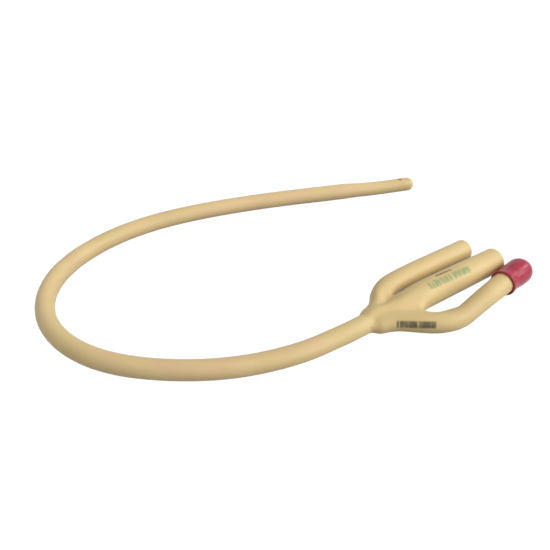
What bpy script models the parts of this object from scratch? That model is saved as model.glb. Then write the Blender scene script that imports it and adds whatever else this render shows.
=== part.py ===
"""Three-way balloon catheter, 22 French, lying flat in one open loop.

Metres, +Z up, with the table at z = 0. The drainage funnel points along +X, the irrigation
limb lies on its +Y side and the inflation limb on its -Y side. The origin is under the middle
of the moulded hub and its valve. The hub is one closed cage of rings, a ring of 16 round the
body that splits into three rings of 8, one for each limb, smoothed by subdivision. Tables of
points and radii are in millimetres, with x and y measured from the hub's junction. A limb's
route gives y as a share of the limb's spread.
"""

import math

import bmesh
import bpy
import numpy as np
from mathutils import Matrix, Vector

MM = 0.001
CLEARANCE = 0.3 * MM
MERGE = 0.001 * MM
PATH_STEP = 0.25 * MM
SHARP_DEGREES = 40.0
ROUND_SIDES = 16

# Corners of the hub's cage round the body and round one limb, and how often it is subdivided
BODY_SIDES = 16
LIMB_SIDES = 8
CAGE_LEVELS = 2

AMBER = (0.72, 0.50, 0.26)
PALE_AMBER = (0.74, 0.53, 0.30)
CRIMSON = (0.50, 0.05, 0.10)
LATEX_ROUGHNESS = 0.45
RUBBER_ROUGHNESS = 0.4

# Place of the junction, which centres the hub and its valve on the origin
JUNCTION = Vector((-28.5 * MM, 2.1 * MM, 0.0))

# Shaft, with its lumen and the thinner section that runs to the closed tip
SHAFT_RADIUS = 3.7 * MM
SHAFT_STEP = 9.0 * MM
SETTLE_LENGTH = 25.0 * MM
TIP_RADIUS = 3.3 * MM
TIP_NOSE = 3.5 * MM
TIP_BLUNTNESS = 2.7
TIP_SECTION = 29.0 * MM
TIP_RINGS = 5
NOSE_SHARES = (0.7, 0.45, 0.25, 0.1, 0.03, 0.004)
LUMEN_RADIUS = 1.5 * MM
LUMEN_FLOOR = 5.0 * MM
LUMEN_STEP = 16.0 * MM
SHAFT_ROUTE = [
    (-17.5, 0.0), (-24.0, 0.5), (-37.0, 1.7), (-49.6, 4.6), (-61.7, 9.2), (-73.0, 15.6),
    (-83.3, 23.3), (-92.6, 32.3), (-99.8, 43.0), (-104.1, 55.3), (-104.8, 68.1),
    (-101.4, 80.4), (-94.3, 91.1), (-84.3, 99.2), (-72.7, 104.7), (-60.3, 107.9),
    (-47.5, 109.0), (-34.7, 108.3), (-21.9, 106.2), (-9.5, 103.3), (3.0, 99.7),
    (15.2, 95.7), (27.3, 91.3), (39.4, 86.7), (51.6, 82.1), (63.6, 77.6), (75.8, 73.5),
    (83.0, 71.1),
]

# Drainage eyes, each with its distance from the tip and its turn round the shaft in degrees
EYE_LENGTH = 4.2 * MM
EYE_WIDTH = 2.2 * MM
EYE_REACH = 1.1 * MM
UPPER_EYE = (7.4, 86.0)
LOWER_EYE = (14.0, 266.0)

# Balloon sleeve, flush with the shaft and feathered towards the tip
CUFF_LENGTH = 28.0 * MM
CUFF_WALL = 0.3 * MM
CUFF_FEATHER = 9.0 * MM
CUFF_EDGE = 0.12 * MM
CUFF_RINGS = 5

# Hub body, from its neck to the fork where the limbs part
HUB_HEIGHT = 5.5 * MM
NECK_HEIGHT = 4.6 * MM
NECK_X = -10.2 * MM
NECK_RADIUS = 3.7 * MM
NECK_FACE = 3.0 * MM
NECK_ROUND = 0.5 * MM
NECK_BLEND_X = -9.0 * MM
NECK_BLEND = 0.35

# Rings of the body, each with x and how high its left and its right valley stand, as shares
# of the height beside them, and the valleys where the limbs part
BODY_RINGS = [
    (-7.4, 1.0, 1.0), (-5.5, 0.95, 1.0), (-2.8, 0.85, 1.0), (1.0, 0.55, 0.9), (3.8, 0.25, 0.8),
]
FORK_DEPTHS = (0.15, 0.5)

# Drainage funnel, whose bore runs on to the shaft's lumen and whose root is cut on a slant
FUNNEL_END = 60.6 * MM
FUNNEL_MOUTH = 5.2 * MM
FUNNEL_FORK = 9.0 * MM
FUNNEL_SLANT = 25.0
FUNNEL_SPREAD = 0.4 * MM
FUNNEL_BORE = 3.9 * MM
FUNNEL_ROUTE = [(-20.0, 0.0), (-8.0, 0.0), (12.0, 0.75), (40.0, 1.0), (80.0, 1.0)]
FUNNEL_RADII = [(-12.0, 3.7), (-4.0, 4.5), (2.0, 5.1), (12.0, 5.45), (36.0, 5.4)]
FUNNEL_HOLLOW = [(-5.0, 1.5), (6.0, 2.8), (20.0, 3.4)]
FUNNEL_STATIONS = (16.0, 36.0)

# Irrigation limb, which sags to the table towards its mouth
IRRIGATION_END = 57.3 * MM
IRRIGATION_MOUTH = 4.3 * MM
IRRIGATION_FORK = 5.2 * MM
IRRIGATION_SAG = 0.8 * MM
IRRIGATION_SPREAD = 13.0 * MM
IRRIGATION_BORE = 2.75 * MM
IRRIGATION_ROUTE = [
    (-14.0, 0.07), (-7.6, 0.2), (-4.4, 0.215), (0.0, 0.32), (4.6, 0.61), (9.4, 0.83),
    (15.5, 0.935), (26.0, 0.975), (45.0, 1.0), (75.0, 1.02),
]
IRRIGATION_RADII = [(-7.4, 3.2), (-5.4, 2.7), (-2.8, 3.1), (2.0, 3.6), (12.0, 4.1)]
IRRIGATION_HOLLOW = [(3.5, 1.3), (12.0, 2.0), (30.0, 2.4)]
IRRIGATION_STATIONS = (9.4, 14.5, 22.0, 40.0)

# Inflation limb, which bows out and toes back in, with a socket for the valve's stem
INFLATION_END = 57.0 * MM
INFLATION_MOUTH = 4.3 * MM
INFLATION_FORK = 8.6 * MM
INFLATION_SPREAD = -17.7 * MM
INFLATION_BORE = 2.1 * MM
INFLATION_ROUTE = [
    (-14.0, 0.045), (-7.5, 0.119), (0.0, 0.294), (5.8, 0.588), (11.3, 0.842), (17.5, 0.983),
    (22.0, 1.0), (26.5, 0.955), (36.0, 0.853), (50.0, 0.712), (75.0, 0.486),
]
INFLATION_RADII = [
    (-9.0, 3.1), (-7.4, 3.5), (-5.5, 3.95), (-2.8, 3.75), (3.0, 3.65), (11.0, 3.8),
    (19.0, 3.95), (26.0, 3.75), (33.0, 3.85), (40.0, 4.0), (50.0, 4.3),
]
INFLATION_HOLLOW = [(3.5, 0.8), (30.0, 1.0), (44.0, 1.2), (47.0, 2.1)]
INFLATION_STATIONS = (12.5, 17.0, 21.5, 26.0, 33.0, 44.0)

# Lip of each limb, as how far each of its rings stands past the end and in from the side
LIP_RINGS = [(-1.5, 0.0), (-0.3, 0.0), (0.0, 0.3), (0.0, 0.8)]
BORE_OVERRUN = 2.0 * MM
BORE_STEP = 6.0 * MM
BORE_GAP = 1.5 * MM

# Soft rubber valve: a skirt over the limb, a stem in its bore and a domed head with a port
VALVE_LENGTH = 17.4 * MM
VALVE_WALL = 0.76 * MM
VALVE_SKIRT = 7.0 * MM
SKIRT_BEVEL = 0.2 * MM
SKIRT_RIM = 0.9 * MM
WAIST_START = 3.0 * MM
WAIST_END = 4.6 * MM
WAIST_DIP = 0.38 * MM
HEAD_START = 8.6 * MM
DOME_DEGREES = 84.0
DOME_RINGS = 7
STEM_RADIUS = 1.6 * MM
STEM_LENGTH = 6.0 * MM
STEM_BEVEL = 0.4 * MM
PORT_RIM = 3.1 * MM
PORT_RADIUS = 2.1 * MM
PORT_FLOOR = 1.8 * MM
PORT_DEPTH = 6.5 * MM
VALVE_SIDES = 24


def clear_scene():
    """Removes what the start-up scene holds."""
    for obj in list(bpy.data.objects):
        bpy.data.objects.remove(obj, do_unlink=True)


def material(name, color, roughness):
    """A plain Principled material."""
    made = bpy.data.materials.new(name)
    made.use_nodes = True
    shader = made.node_tree.nodes["Principled BSDF"]
    shader.inputs["Base Color"].default_value = (*color, 1.0)
    shader.inputs["Roughness"].default_value = roughness
    shader.inputs["Metallic"].default_value = 0.0
    return made


def new_object(name, bm, finish):
    """Turns a bmesh into an object, shaded smooth with its faces turned outward."""
    bmesh.ops.recalc_face_normals(bm, faces=bm.faces[:])
    mesh = bpy.data.meshes.new(name)
    bm.to_mesh(mesh)
    bm.free()
    mesh.materials.append(finish)
    mesh.shade_smooth()
    mesh.set_sharp_from_angle(angle=math.radians(SHARP_DEGREES))
    obj = bpy.data.objects.new(name, mesh)
    bpy.context.scene.collection.objects.link(obj)
    return obj


def cut(obj, cutter):
    """Takes a cutter's shape out of an object and hides the cutter."""
    step = obj.modifiers.new(cutter.name, "BOOLEAN")
    step.operation = "DIFFERENCE"
    step.solver = "EXACT"
    step.object = cutter
    cutter.hide_render = True
    cutter.display_type = "WIRE"


def smooth_path(points):
    """Closely spaced points on a centripetal Catmull-Rom curve through the given ones."""
    first = points[0] * 2.0 - points[1]
    last = points[-1] * 2.0 - points[-2]
    knots = [first, *points, last]
    path = [points[0]]
    for a, b, c, d in zip(knots, knots[1:], knots[2:], knots[3:]):
        t1 = math.sqrt((b - a).length)
        t2 = t1 + math.sqrt((c - b).length)
        t3 = t2 + math.sqrt((d - c).length)
        count = max(1, round((c - b).length / PATH_STEP))
        for k in range(1, count + 1):
            t = t1 + (t2 - t1) * k / count
            ab = a.lerp(b, t / t1)
            bc = b.lerp(c, (t - t1) / (t2 - t1))
            cd = c.lerp(d, (t - t2) / (t3 - t2))
            left = ab.lerp(bc, t / t2)
            right = bc.lerp(cd, (t - t1) / (t3 - t1))
            path.append(left.lerp(right, (t - t1) / (t2 - t1)))
    return path


def ease(share):
    """Rises from 0 to 1 with no slope at either end."""
    share = float(np.clip(share, 0.0, 1.0))
    return share * share * (3.0 - 2.0 * share)


def ring(frame, radius, sides):
    """Points round a place, the first on its left side, turning up from there."""
    place, ahead, side = frame
    up = ahead.cross(side)
    turns = [2.0 * math.pi * k / sides for k in range(sides)]
    return [place + side * (radius * math.cos(t)) + up * (radius * math.sin(t)) for t in turns]


def cage_shrink(sides):
    """How far subdivision draws a round cage of so many sides in."""
    return 2.0 / 3.0 + math.cos(2.0 * math.pi / sides) / 3.0


def add_ring(bm, points):
    """Adds a ring of points to a bmesh."""
    return [bm.verts.new(point) for point in points]


def bridge(bm, near, far):
    """Joins two rings of as many points with four-sided faces."""
    count = len(near)
    for k in range(count):
        bm.faces.new((near[k], near[(k + 1) % count], far[(k + 1) % count], far[k]))


class Route:
    """A smooth route in plan whose height is given at each point of it."""

    def __init__(self, points):
        self.path = smooth_path([Vector((x * MM, y * MM, 0.0)) for x, y in points])
        self.measure()

    def measure(self):
        """Notes the distance from the start to each point of the path."""
        steps = [(b - a).length for a, b in zip(self.path, self.path[1:])]
        self.lengths = np.concatenate([[0.0], np.cumsum(steps)])
        self.whole = float(self.lengths[-1])

    def frame_at(self, distance):
        """Place, direction and left-hand direction at a distance along the route."""
        k = int(np.clip(np.searchsorted(self.lengths, distance), 1, len(self.path) - 1))
        share = (distance - self.lengths[k - 1]) / (self.lengths[k] - self.lengths[k - 1])
        place = self.path[k - 1].lerp(self.path[k], float(share)) + JUNCTION
        ahead = self.path[min(k + 1, len(self.path) - 1)] - self.path[max(k - 2, 0)]
        ahead.normalize()
        return place, ahead, Vector((-ahead.y, ahead.x, 0.0)).normalized()


class Limb(Route):
    """One branch of the hub, with its outer radius and its bore along x."""

    def __init__(self, route, spread, radii, mouth, hollow, bore, fork, end, sag=0.0):
        super().__init__([(x, share * spread / MM) for x, share in route])
        for point in self.path:
            point.z = axis_height(point.x) - sag * ease((point.x - fork) / (end - fork))
        self.measure()
        self.fork = fork
        self.end = end
        self.radii = self.table(radii, mouth)
        self.bores = self.table(hollow, bore)

    def table(self, rows, last):
        """Radii along x, in metres, that finish with the radius at the mouth."""
        kept = [(x * MM, radius * MM) for x, radius in rows if x * MM < self.end]
        return [*kept, (self.end, last)]

    def length_at(self, x):
        """Distance along the route at which it reaches x."""
        return float(np.interp(x, [point.x for point in self.path], self.lengths))

    def radius_at(self, x, table):
        """Radius at x in one of the limb's tables."""
        return float(np.interp(x, [row[0] for row in table], [row[1] for row in table]))

    def cage_ring(self, x, beyond=0.0, inset=0.0, slant=0.0):
        """Eight cage points round the limb at x, or at a distance beyond it.

        A slant, in degrees, sets the ring's left side back and its right side forward.
        """
        radius = self.radius_at(x, self.radii) - inset
        place, ahead, side = self.frame_at(self.length_at(x) + beyond)
        side = side - ahead * math.tan(math.radians(slant))
        return ring((place, ahead, side), radius / cage_shrink(LIMB_SIDES), LIMB_SIDES)


def axis_height(x):
    """Height of the hub's mid-plane, which droops from the body to the neck."""
    share = ease((x - NECK_X) / (FUNNEL_FORK - NECK_X))
    return NECK_HEIGHT + (HUB_HEIGHT - NECK_HEIGHT) * share


def shaft_route():
    """The shaft's route, from the hub's neck down to the table and round to the tip."""
    start = ((NECK_X - CLEARANCE) / MM, 0.0)
    route = Route([start, *SHAFT_ROUTE])
    for point, distance in zip(route.path, route.lengths):
        drop = (NECK_HEIGHT - SHAFT_RADIUS) * ease(distance / SETTLE_LENGTH)
        sink = (SHAFT_RADIUS - TIP_RADIUS) * (1.0 - ease((route.whole - distance) / TIP_SECTION))
        point.z = NECK_HEIGHT - drop - sink
    route.measure()
    return route


def body_ring(rings, depths):
    """Sixteen points round three rings of eight that have run together side by side.

    The left and the right valley between the limbs stand at shares of the height beside them.
    """
    left, middle, right = rings
    left_depth, right_depth = depths
    level = middle[0].z

    def valley(a, b, depth):
        low = (a + b) / 2.0
        low.z = level + (low.z - level) * depth
        return low

    return [
        left[0], left[1], left[2], valley(left[3], middle[1], left_depth),
        middle[2], valley(middle[3], right[1], right_depth), right[2], right[3],
        right[4], right[5], right[6], valley(right[7], middle[5], right_depth),
        middle[6], valley(middle[7], left[5], left_depth), left[6], left[7],
    ]


def neck_ring(x, radius):
    """Sixteen points round the neck at x, in the order of the body's rings."""
    centre = JUNCTION + Vector((x, 0.0, axis_height(x)))
    frame = (centre, Vector((1.0, 0.0, 0.0)), Vector((0.0, 1.0, 0.0)))
    return ring(frame, radius / cage_shrink(BODY_SIDES), BODY_SIDES)


def add_limb(bm, limb, root, stations):
    """Runs one limb's cage from its root ring to its lip and closes it flat."""
    rings = [limb.cage_ring(x * MM) for x in stations if limb.fork < x * MM < limb.end]
    rings += [limb.cage_ring(limb.end, beyond * MM, inset * MM) for beyond, inset in LIP_RINGS]
    near = root
    for points in rings:
        far = add_ring(bm, points)
        bridge(bm, near, far)
        near = far
    bm.faces.new(near)


def hub_cage(limbs):
    """The hub's cage: neck, body, and the fork where the three limbs part."""
    bm = bmesh.new()
    near = add_ring(bm, neck_ring(NECK_X, NECK_FACE))
    bm.faces.new(reversed(near))
    rings = [neck_ring(x, NECK_RADIUS) for x in (NECK_X, NECK_X + NECK_ROUND)]
    wide = body_ring([limb.cage_ring(NECK_BLEND_X) for limb in limbs], BODY_RINGS[0][1:])
    narrow = neck_ring(NECK_BLEND_X, NECK_RADIUS)
    rings.append([a.lerp(b, NECK_BLEND) for a, b in zip(narrow, wide)])
    for x, *depths in BODY_RINGS:
        rings.append(body_ring([limb.cage_ring(x * MM) for limb in limbs], depths))
    slants = (0.0, FUNNEL_SLANT, 0.0)
    roots = [limb.cage_ring(limb.fork, slant=slant) for limb, slant in zip(limbs, slants)]
    left, middle, right = roots
    rings.append(body_ring(roots, FORK_DEPTHS))
    for points in rings:
        fork = add_ring(bm, points)
        bridge(bm, near, fork)
        near = fork
    left_web, right_web = add_ring(bm, [(left[4] + middle[0]) / 2.0, (middle[4] + right[0]) / 2.0])
    irrigation, funnel, inflation = limbs
    add_limb(bm, irrigation, [*fork[:4], left_web, *fork[13:]], IRRIGATION_STATIONS)
    add_limb(bm, funnel, [left_web, *fork[3:6], right_web, *fork[11:14]], FUNNEL_STATIONS)
    add_limb(bm, inflation, [right_web, *fork[5:12]], INFLATION_STATIONS)
    return bm


def cut_bore(hub, limb, finish):
    """Bores one limb from its mouth along its own route."""
    stops = [limb.length_at(x) for x, _ in limb.bores]
    last = stops[-1] + BORE_OVERRUN
    spaced = np.linspace(stops[0], last, math.ceil((last - stops[0]) / BORE_STEP))
    stops += [stop for stop in spaced if min(abs(stop - near) for near in stops) > BORE_GAP]
    xs = [point.x for point in limb.path]
    bm = bmesh.new()
    near = None
    for stop in sorted(stops):
        radius = limb.radius_at(float(np.interp(stop, limb.lengths, xs)), limb.bores)
        far = add_ring(bm, ring(limb.frame_at(stop), radius, ROUND_SIDES))
        if near is None:
            bm.faces.new(far)
        else:
            bridge(bm, near, far)
        near = far
    bm.faces.new(near)
    cut(hub, new_object("bore", bm, finish))


def build_hub(latex):
    """The moulded hub with its three bored limbs. Returns the inflation limb."""
    irrigation = Limb(IRRIGATION_ROUTE, IRRIGATION_SPREAD, IRRIGATION_RADII, IRRIGATION_MOUTH,
                      IRRIGATION_HOLLOW, IRRIGATION_BORE, IRRIGATION_FORK, IRRIGATION_END,
                      IRRIGATION_SAG)
    lumen = ((NECK_X - BORE_OVERRUN) / MM, LUMEN_RADIUS / MM)
    funnel = Limb(FUNNEL_ROUTE, FUNNEL_SPREAD, FUNNEL_RADII, FUNNEL_MOUTH,
                  [lumen, *FUNNEL_HOLLOW], FUNNEL_BORE, FUNNEL_FORK, FUNNEL_END)
    inflation = Limb(INFLATION_ROUTE, INFLATION_SPREAD, INFLATION_RADII, INFLATION_MOUTH,
                     INFLATION_HOLLOW, INFLATION_BORE, INFLATION_FORK, INFLATION_END)
    limbs = (irrigation, funnel, inflation)
    hub = new_object("three_way_hub", hub_cage(limbs), latex)
    smooth = hub.modifiers.new("smooth", "SUBSURF")
    smooth.levels = CAGE_LEVELS
    smooth.render_levels = CAGE_LEVELS
    for limb in limbs:
        cut_bore(hub, limb, latex)
    return inflation


def valve_profile(mouth):
    """Half of the valve's section as (along, out) pairs, for a limb with this radius."""
    pocket = mouth + CLEARANCE
    radius = pocket + VALVE_WALL
    waist = radius - WAIST_DIP
    floor = VALVE_LENGTH - PORT_DEPTH
    dome = VALVE_LENGTH - radius
    rim_degrees = math.degrees(math.asin(PORT_RIM / radius))
    rim = dome + radius * math.cos(math.radians(rim_degrees))
    stem_end = VALVE_SKIRT - STEM_LENGTH
    profile = [(floor, 0.0), (floor, PORT_FLOOR), (rim, PORT_RADIUS)]
    for degrees in np.linspace(rim_degrees, DOME_DEGREES, DOME_RINGS):
        angle = math.radians(degrees)
        profile.append((dome + radius * math.cos(angle), radius * math.sin(angle)))
    profile += [(HEAD_START, radius), (WAIST_END, waist), (WAIST_START, waist)]
    profile += [(SKIRT_RIM, radius), (SKIRT_BEVEL, radius), (0.0, radius - SKIRT_BEVEL)]
    profile += [(0.0, pocket + SKIRT_BEVEL), (SKIRT_BEVEL, pocket), (VALVE_SKIRT, pocket)]
    profile += [(VALVE_SKIRT, STEM_RADIUS), (stem_end + STEM_BEVEL, STEM_RADIUS)]
    profile += [(stem_end, STEM_RADIUS - STEM_BEVEL), (stem_end, 0.0)]
    return profile


def build_valve(limb, rubber):
    """The valve, turned about the end of the inflation limb."""
    place, ahead, side = limb.frame_at(limb.length_at(limb.end))
    rim = place - ahead * (VALVE_SKIRT - CLEARANCE)
    axes = Matrix((ahead, side, ahead.cross(side))).transposed().to_4x4()
    bm = bmesh.new()
    verts = add_ring(bm, [(along, out, 0.0) for along, out in valve_profile(INFLATION_MOUTH)])
    edges = [bm.edges.new(pair) for pair in zip(verts, verts[1:])]
    bmesh.ops.spin(bm, geom=verts + edges, cent=(0, 0, 0), axis=(1, 0, 0), dvec=(0, 0, 0),
                   angle=2.0 * math.pi, steps=VALVE_SIDES, use_merge=True)
    bmesh.ops.remove_doubles(bm, verts=bm.verts[:], dist=MERGE)
    bmesh.ops.transform(bm, matrix=Matrix.Translation(rim) @ axes, verts=bm.verts[:])
    new_object("inflation_valve", bm, rubber)


def shaft_profile(whole):
    """Distances along the shaft with its outer radius at each, from the neck to the tip."""
    cuff_start = whole - TIP_SECTION - CUFF_LENGTH
    cuff_end = whole - TIP_SECTION
    necked = SHAFT_RADIUS - CUFF_WALL - CLEARANCE
    plain = np.linspace(0.0, cuff_start, math.ceil(cuff_start / SHAFT_STEP))
    profile = [(stop, SHAFT_RADIUS) for stop in plain]
    profile += [(stop, necked) for stop in np.linspace(cuff_start + MERGE, cuff_end - MERGE, CUFF_RINGS)]
    profile += [(stop, TIP_RADIUS) for stop in np.linspace(cuff_end, whole - TIP_NOSE, TIP_RINGS)]
    for share in NOSE_SHARES:
        inward = (1.0 - (1.0 - share) ** TIP_BLUNTNESS) ** (1.0 / TIP_BLUNTNESS)
        profile.append((whole - TIP_NOSE * share, TIP_RADIUS * inward))
    return profile


def eye_cutter(name, route, eye, finish):
    """An oval hole through the wall into the lumen."""
    from_tip, degrees = eye
    place, ahead, side = route.frame_at(route.whole - from_tip * MM)
    angle = math.radians(degrees)
    out = side * math.cos(angle) + ahead.cross(side) * math.sin(angle)
    depth = TIP_RADIUS - EYE_REACH
    size = Matrix.Diagonal((EYE_LENGTH / 2.0, EYE_WIDTH / 2.0, depth, 1.0))
    axes = Matrix((ahead, out.cross(ahead), out)).transposed().to_4x4()
    bm = bmesh.new()
    bmesh.ops.create_uvsphere(bm, u_segments=ROUND_SIDES, v_segments=ROUND_SIDES // 2, radius=1.0)
    centre = Matrix.Translation(place + out * TIP_RADIUS)
    bmesh.ops.transform(bm, matrix=centre @ axes @ size, verts=bm.verts[:])
    return new_object(name, bm, finish)


def build_shaft(route, latex):
    """The flexible shaft: a tube with a closed tip and two eyes that open into its lumen."""
    bm = bmesh.new()
    floor = route.whole - LUMEN_FLOOR
    lumen = np.linspace(floor, 0.0, math.ceil(floor / LUMEN_STEP))
    rings = [(stop, LUMEN_RADIUS) for stop in lumen] + shaft_profile(route.whole)
    near = None
    for stop, radius in rings:
        far = add_ring(bm, ring(route.frame_at(stop), radius, ROUND_SIDES))
        if near is None:
            bm.faces.new(far)
        else:
            bridge(bm, near, far)
        near = far
    bm.faces.new(near)
    shaft = new_object("shaft_tube", bm, latex)
    cut(shaft, eye_cutter("upper_eye", route, UPPER_EYE, latex))
    cut(shaft, eye_cutter("lower_eye", route, LOWER_EYE, latex))


def build_cuff(route, latex):
    """The deflated balloon: a thin sleeve round the necked stretch of the shaft."""
    start = route.whole - TIP_SECTION - CUFF_LENGTH + CLEARANCE
    end = route.whole - TIP_SECTION - CLEARANCE
    full = end - CUFF_FEATHER
    stops = [*np.linspace(start, full, CUFF_RINGS), (full + end) / 2.0, end]
    inner = SHAFT_RADIUS - CUFF_WALL
    walls = [CUFF_WALL] * CUFF_RINGS + [(CUFF_WALL + CUFF_EDGE) / 2.0, CUFF_EDGE]
    rings = [(stop, inner + wall) for stop, wall in zip(stops, walls)]
    rings += [(stop, inner) for stop in reversed(stops)]
    bm = bmesh.new()
    made = [add_ring(bm, ring(route.frame_at(stop), radius, ROUND_SIDES)) for stop, radius in rings]
    for near, far in zip(made, made[1:] + made[:1]):
        bridge(bm, near, far)
    new_object("balloon_cuff", bm, latex)


def main():
    """Builds the catheter."""
    clear_scene()
    latex = material("amber_latex", AMBER, LATEX_ROUGHNESS)
    inflation = build_hub(latex)
    build_valve(inflation, material("crimson_rubber", CRIMSON, RUBBER_ROUGHNESS))
    route = shaft_route()
    build_shaft(route, latex)
    build_cuff(route, material("balloon_latex", PALE_AMBER, LATEX_ROUGHNESS))


main()
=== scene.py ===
"""Dresses a three-way balloon catheter and sets it on a white table under soft light.

Metres, +Z up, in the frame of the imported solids. Plan points are in millimetres, with x and y
measured from the hub's junction, as the solids' own routes are. The drainage funnel points along
+X, with the irrigation limb on its left and the inflation limb on its right.
"""

import logging
import math
from dataclasses import dataclass, field
from enum import Enum
from typing import Optional, Sequence, Union

import bmesh
import bpy
import numpy as np
from mathutils import Euler, Matrix, Vector


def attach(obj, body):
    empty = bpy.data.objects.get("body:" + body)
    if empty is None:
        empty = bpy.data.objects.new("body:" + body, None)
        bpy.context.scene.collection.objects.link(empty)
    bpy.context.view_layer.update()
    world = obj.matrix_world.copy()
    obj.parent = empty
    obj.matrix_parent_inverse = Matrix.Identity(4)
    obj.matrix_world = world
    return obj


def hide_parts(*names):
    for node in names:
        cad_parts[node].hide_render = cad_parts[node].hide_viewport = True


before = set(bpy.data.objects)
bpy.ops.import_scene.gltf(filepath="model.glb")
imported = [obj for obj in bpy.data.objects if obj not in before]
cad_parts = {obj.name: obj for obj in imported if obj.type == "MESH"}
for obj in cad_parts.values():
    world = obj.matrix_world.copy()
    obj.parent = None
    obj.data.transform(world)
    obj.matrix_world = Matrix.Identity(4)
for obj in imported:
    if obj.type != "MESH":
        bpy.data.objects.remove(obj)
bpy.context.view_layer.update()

LOG = logging.getLogger("catheter")

MM = 0.001
MERGE = 0.0005 * MM
CRISP_DEGREES = 50.0
BODY = "root"

# Where the hub's limbs meet, in metres
JUNCTION = Vector((-28.5 * MM, 2.1 * MM, 0.0))

# The neck's end and the funnel's root by x from the junction, and the heights of the neck's and
# the body's mid-planes over the table, in millimetres
NECK_X = -10.2
FUNNEL_FORK = 9.0
NECK_HEIGHT = 4.6
HUB_HEIGHT = 5.5

# Cage points round the neck and body, and round each limb
NECK_SIDES = 16
LIMB_SIDES = 8

Color = tuple[float, float, float]
Value = Union[float, Sequence[float], bpy.types.NodeSocket]

WHITE: Color = (1.0, 1.0, 1.0)


class Slot(Enum):
    """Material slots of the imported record."""

    LATEX = "amber_latex"
    BALLOON = "balloon_latex"
    RUBBER = "crimson_rubber"


class CordWord(Enum):
    BARE = "bare"
    MEDIUM = "medium"
    LOOSE = "loose"


# Helpers for curves and meshes


def ease(share: float) -> float:
    """Rises from 0 to 1 with no slope at either end."""
    share = min(1.0, max(0.0, share))
    return share * share * (3.0 - 2.0 * share)


def table_value(rows: Sequence[tuple[float, float]], x: float) -> float:
    """Value at x in a table of pairs, with straight runs between them."""
    return float(np.interp(x, *zip(*rows)))


def eased_value(rows: Sequence[tuple[float, float]], x: float) -> float:
    """Value at x in a table of pairs, with an eased run from each pair to the next.

    Args:
        rows: Pairs of x and value, by growing x.
        x: Where the value is wanted.

    Returns:
        The value, which is flat beyond both ends of the table.
    """
    for (x0, low), (x1, high) in zip(rows, rows[1:]):
        if x < x1:
            return low + (high - low) * ease((x - x0) / (x1 - x0))
    return rows[-1][1]


def smooth_path(points: Sequence[Vector], step: float = 0.25 * MM) -> list[Vector]:
    """Closely spaced points on a centripetal Catmull-Rom curve.

    Args:
        points: Points that the curve runs through.
        step: Spacing of the points that are returned.

    Returns:
        Points on the curve, from the first given point to the last.
    """
    knots = [points[0] * 2.0 - points[1], *points, points[-1] * 2.0 - points[-2]]
    path = [points[0]]
    for a, b, c, d in zip(knots, knots[1:], knots[2:], knots[3:]):
        t1 = math.sqrt((b - a).length)
        t2 = t1 + math.sqrt((c - b).length)
        t3 = t2 + math.sqrt((d - c).length)
        count = max(1, round((c - b).length / step))
        for k in range(1, count + 1):
            t = t1 + (t2 - t1) * k / count
            ab = a.lerp(b, t / t1)
            bc = b.lerp(c, (t - t1) / (t2 - t1))
            cd = c.lerp(d, (t - t2) / (t3 - t2))
            left = ab.lerp(bc, t / t2)
            right = bc.lerp(cd, (t - t1) / (t3 - t1))
            path.append(left.lerp(right, (t - t1) / (t2 - t1)))
    return path


def cage_shrink(sides: int) -> float:
    """How far subdivision draws a round cage of so many sides in."""
    return 2.0 / 3.0 + math.cos(2.0 * math.pi / sides) / 3.0


def ring(frame_matrix: Matrix, wide: float, high: float, sides: int) -> list[Vector]:
    """Cage points round a place, the first on its left, turning up from there.

    Args:
        frame_matrix: Left, up, ahead and the place, as the columns of a matrix.
        wide: Radius to the sides, of the surface that the cage gives.
        high: Radius upward.
        sides: Number of points.

    Returns:
        The points, in order.
    """
    turns = [2.0 * math.pi * k / sides for k in range(sides)]
    grown = 1.0 / cage_shrink(sides)
    flat = [Vector((wide * grown * math.cos(t), high * grown * math.sin(t), 0.0)) for t in turns]
    return [frame_matrix @ point for point in flat]


def loft(bm: bmesh.types.BMesh, places: Sequence[Matrix], sides: int) -> None:
    """Skins a run of circles, each the unit circle put through a matrix, and leaves its ends open.

    Args:
        bm: Mesh that the skin is added to.
        places: One matrix for each circle.
        sides: Segments of each circle.
    """
    loops = []
    for place in places:
        made = bmesh.ops.create_circle(bm, cap_ends=False, segments=sides, radius=1.0, matrix=place)
        loops.append(list({edge for vert in made["verts"] for edge in vert.link_edges}))
    for near, far in zip(loops, loops[1:]):
        bmesh.ops.bridge_loops(bm, edges=near + far)


def close_ends(bm: bmesh.types.BMesh) -> None:
    """Fills every open loop of a mesh and turns all faces outward."""
    bmesh.ops.holes_fill(bm, edges=[edge for edge in bm.edges if edge.is_boundary], sides=0)
    bmesh.ops.recalc_face_normals(bm, faces=bm.faces[:])


def add_object(name: str, data: bpy.types.ID) -> bpy.types.Object:
    """Makes an object of a mesh, a light or a camera and links it to the scene.

    Args:
        name: Name of the object.
        data: What the object shows.

    Returns:
        The new object, at the origin.
    """
    obj = bpy.data.objects.new(name, data)
    bpy.context.scene.collection.objects.link(obj)
    return obj


def shade(mesh: bpy.types.Mesh, sharp_degrees: float) -> None:
    """Shades a mesh smooth, apart from edges that turn by more than an angle."""
    mesh.shade_smooth()
    mesh.set_sharp_from_angle(angle=math.radians(sharp_degrees))


def new_piece(name: str, bm: bmesh.types.BMesh) -> bpy.types.Object:
    """Turns a mesh under construction into an object at the origin.

    Args:
        name: Name of the object and its mesh.
        bm: Finished mesh, which is freed.

    Returns:
        The new object.
    """
    mesh = bpy.data.meshes.new(name)
    bm.to_mesh(mesh)
    bm.free()
    shade(mesh, CRISP_DEGREES)
    return add_object(name, mesh)


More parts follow.
